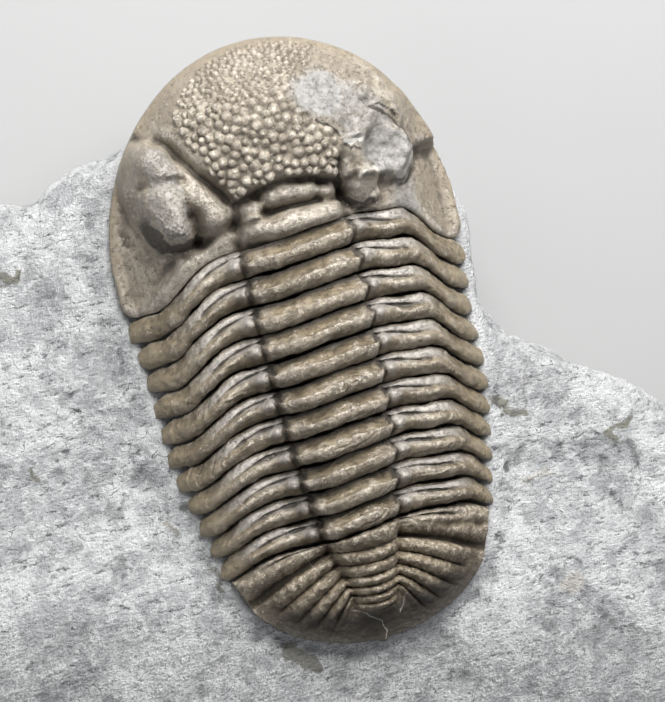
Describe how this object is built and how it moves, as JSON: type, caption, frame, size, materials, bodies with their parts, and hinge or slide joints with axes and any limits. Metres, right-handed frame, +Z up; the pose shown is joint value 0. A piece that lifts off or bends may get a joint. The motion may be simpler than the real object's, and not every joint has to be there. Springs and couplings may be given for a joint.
{
  "type": "trilobite fossil on matrix",
  "caption": "Outstretched phacopid trilobite fossil with a warty head, ringed body and ribbed tail, lying on a flat-based slab of broken limestone.",
  "frame": {"origin": "middle of the outline seen from above, on the plane that the slab's flat base rests on", "axes": "+Z up, out of the fossil's back; +Y along the fossil's midline towards its head; +X towards the side whose eye is broken away"},
  "size_m": [0.07, 0.0652, 0.0272],
  "materials": {
    "cephalon_calcite": "satin brown calcite, warty, with pale worn crests",
    "thorax_calcite": "satin brown calcite with pale scuffed crests and dark furrows",
    "pygidium_calcite": "satin dark brown calcite",
    "matrix_limestone": "matt, rough broken grey limestone"
  },
  "bodies": {
    "root": {"cephalon": "cephalon_calcite", "thoracic_segment_01": "thorax_calcite", "thoracic_segment_02": "thorax_calcite", "thoracic_segment_03": "thorax_calcite", "thoracic_segment_04": "thorax_calcite", "thoracic_segment_05": "thorax_calcite", "thoracic_segment_06": "thorax_calcite", "thoracic_segment_07": "thorax_calcite", "thoracic_segment_08": "thorax_calcite", "thoracic_segment_09": "thorax_calcite", "thoracic_segment_10": "thorax_calcite", "thoracic_segment_11": "thorax_calcite", "pygidium": "pygidium_calcite", "matrix_slab": "matrix_limestone"}
  },
  "joints": []
}
